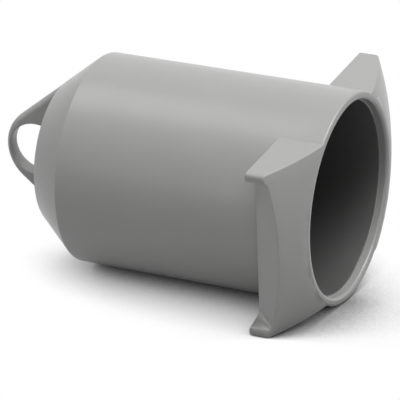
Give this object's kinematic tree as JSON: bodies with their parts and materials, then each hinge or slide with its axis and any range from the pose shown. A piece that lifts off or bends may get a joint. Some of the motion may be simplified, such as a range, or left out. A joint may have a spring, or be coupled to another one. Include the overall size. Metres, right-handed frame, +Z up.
{
  "type": "connector cap",
  "caption": "Tubular protective cap for a round cable connector, with a coned closed end, a flat lanyard eye and domed finger wings beside its mouth.",
  "frame": {"origin": "on the floor under the middle of the cap's length, below its axis", "axes": "+X along the cap's axis and out of its mouth, +Z up; the cap lies on its side, rolled about X until one wing's lower horn touches the floor"},
  "size_m": [0.0618, 0.0522, 0.0357],
  "materials": {
    "cap_plastic": "satin, finely grained moulded surface"
  },
  "bodies": {
    "root": {"cap": "cap_plastic"}
  },
  "joints": []
}
